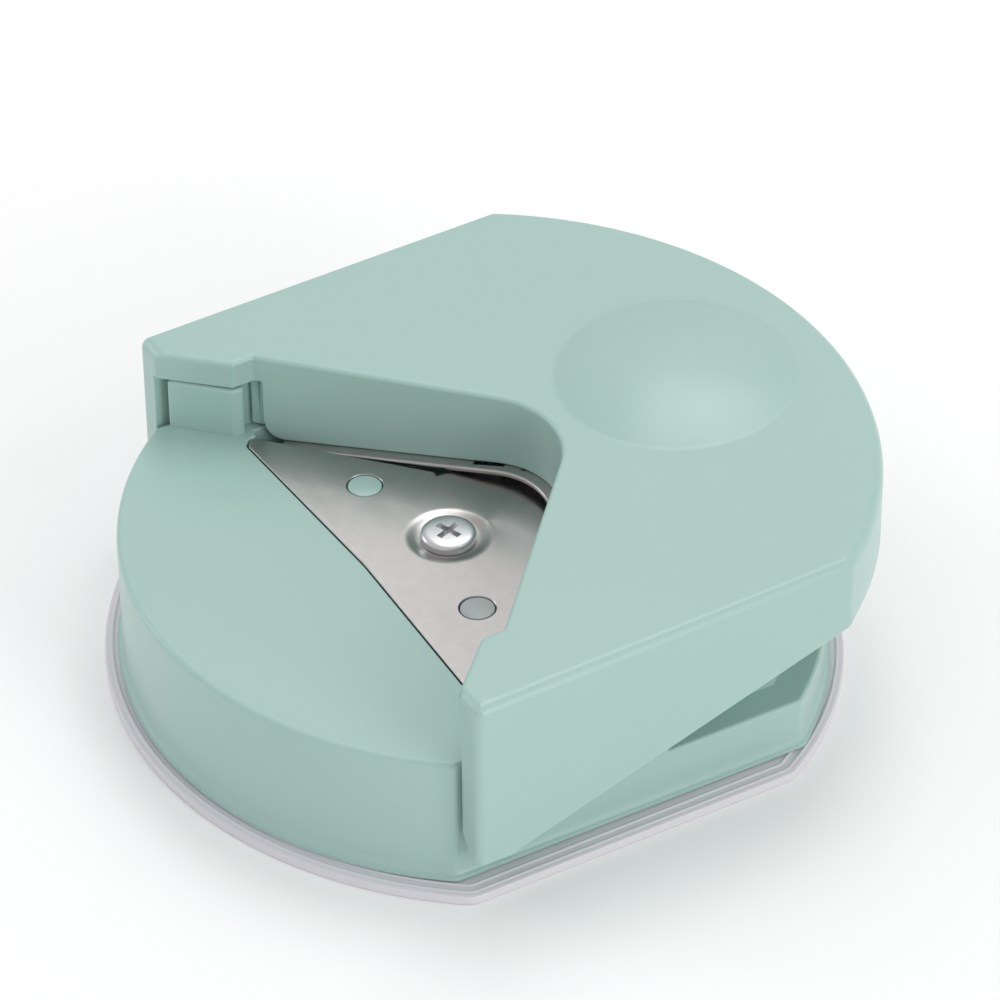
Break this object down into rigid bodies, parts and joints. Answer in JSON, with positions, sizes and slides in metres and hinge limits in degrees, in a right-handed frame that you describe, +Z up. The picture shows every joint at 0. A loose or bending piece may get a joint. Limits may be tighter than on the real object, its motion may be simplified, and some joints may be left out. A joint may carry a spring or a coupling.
{
  "type": "corner rounder",
  "caption": "Hand punch that rounds the corners of paper and card: a hinged press lever closes an upper plate on a die plate and drives a sprung cutter.",
  "frame": {"origin": "centre of the bounding box, on the underside of the chip tray", "axes": "+Y from the paper table to the thumb end, +Z up, +X to the right seen from the table"},
  "size_m": [0.058, 0.0644, 0.0232],
  "materials": {
    "mint_plastic": "moulded, satin to semi-gloss",
    "clear_plastic": "clear, polished",
    "plate_steel": "fine brushed, nickel plated",
    "screw_steel": "zinc plated",
    "pin_steel": "ground",
    "spring_steel": "drawn wire",
    "dark_plastic": "moulded",
    "bush_brass": "turned"
  },
  "bodies": {
    "base": {"base_body": "mint_plastic", "die_plate": "plate_steel", "die_screw": "screw_steel", "paper_stops": "dark_plastic", "chip_frame": "dark_plastic", "frame_screws": "screw_steel", "guide_posts": "pin_steel", "post_rings": "pin_steel", "spring_washers": "screw_steel", "hinge_pins": "pin_steel"},
    "lever": {"press_lever": "mint_plastic", "upper_plate": "plate_steel", "plate_screws": "screw_steel", "pusher_pad": "dark_plastic", "pusher_rivet": "pin_steel"},
    "cutter_slide": {"cutter": "pin_steel", "cutter_pin": "pin_steel", "cutter_holder": "dark_plastic", "post_bushes": "bush_brass", "return_springs": "spring_steel"},
    "tray": {"chip_tray": "clear_plastic"}
  },
  "joints": [
    {"name": "lever_hinge", "type": "hinge", "parent": "base", "child": "lever", "pos_m": [0, 0, 0.0152], "axis": [-1, 0, 0], "range_deg": [0, 8], "stiffness_Nm_per_rad": 0.8, "springref_deg": -4.58},
    {"name": "cutter_travel", "type": "slide", "parent": "base", "child": "cutter_slide", "axis": [0, 0, -1], "range_m": [0, 0.00193], "deforming": ["return_springs"]},
    {"name": "tray_release", "type": "slide", "parent": "base", "child": "tray", "axis": [0, 0, -1], "range_m": [0, 0.008]}
  ],
  "couplings": [
    {"joint": "cutter_travel", "follows": "lever_hinge", "m_per_rad": 0.013822}
  ]
}
